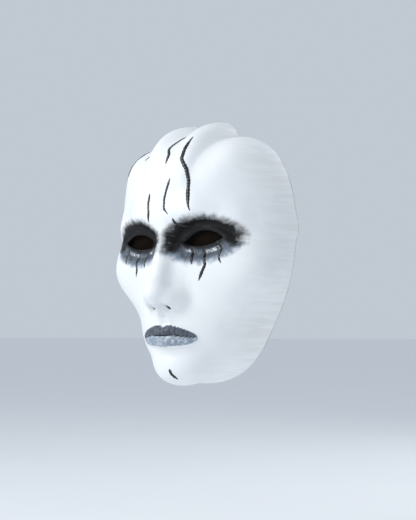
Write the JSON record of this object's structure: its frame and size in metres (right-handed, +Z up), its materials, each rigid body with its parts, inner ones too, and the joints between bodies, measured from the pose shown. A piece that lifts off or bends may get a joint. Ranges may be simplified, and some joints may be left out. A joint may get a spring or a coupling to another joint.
{
  "type": "masquerade mask",
  "caption": "Full-face masquerade mask with a lobed brow edge, open eyes, felt lining, foam pads, an elastic strap on press studs and a hanging ring.",
  "frame": {"origin": "centre of the flat back rim, in the rim's plane", "axes": "+Z up towards the brow edge, +Y out of the back, so the face looks along -Y; +X is the wearer's left"},
  "size_m": [0.1764, 0.089, 0.2256],
  "materials": {
    "painted_paper": "satin white paint over layered paper, faint brush streaks, smoky grey and black round the eyes, grey lips, raised black cracks",
    "brown_felt": "short matted nap",
    "dark_gauze": "fine open weave, matt",
    "black_foam": "brushed fabric over foam",
    "cork": "raw, speckled",
    "nickel": "satin nickel plate",
    "black_elastic": "ribbed woven elastic",
    "cotton_tape": "twill tape"
  },
  "bodies": {
    "mask": {"mask_shell": "painted_paper", "felt_lining": "brown_felt", "eye_gauze_left": "dark_gauze", "eye_gauze_right": "dark_gauze", "forehead_pad": "black_foam", "chin_pad": "black_foam", "cheek_pad_left": "black_foam", "cheek_pad_right": "black_foam", "strap_anchor_left": "cork", "strap_anchor_right": "cork", "snap_stud_left": "nickel", "snap_stud_right": "nickel", "hanger_tab": "cotton_tape"},
    "strap": {"elastic_strap": "black_elastic", "snap_socket_left": "nickel", "snap_socket_right": "nickel", "snap_cap_left": "nickel", "snap_cap_right": "nickel"},
    "ring": {"hanging_ring": "nickel"}
  },
  "joints": [
    {"name": "strap_swing", "type": "hinge", "parent": "mask", "child": "strap", "pos_m": [0, -0.0105, 0.014], "axis": [1, 0, 0], "range_deg": [-5, 120]},
    {"name": "ring_swing", "type": "hinge", "parent": "mask", "child": "ring", "pos_m": [0, -0.006, 0.09722], "axis": [1, 0, 0], "range_deg": [-55, 95]}
  ]
}
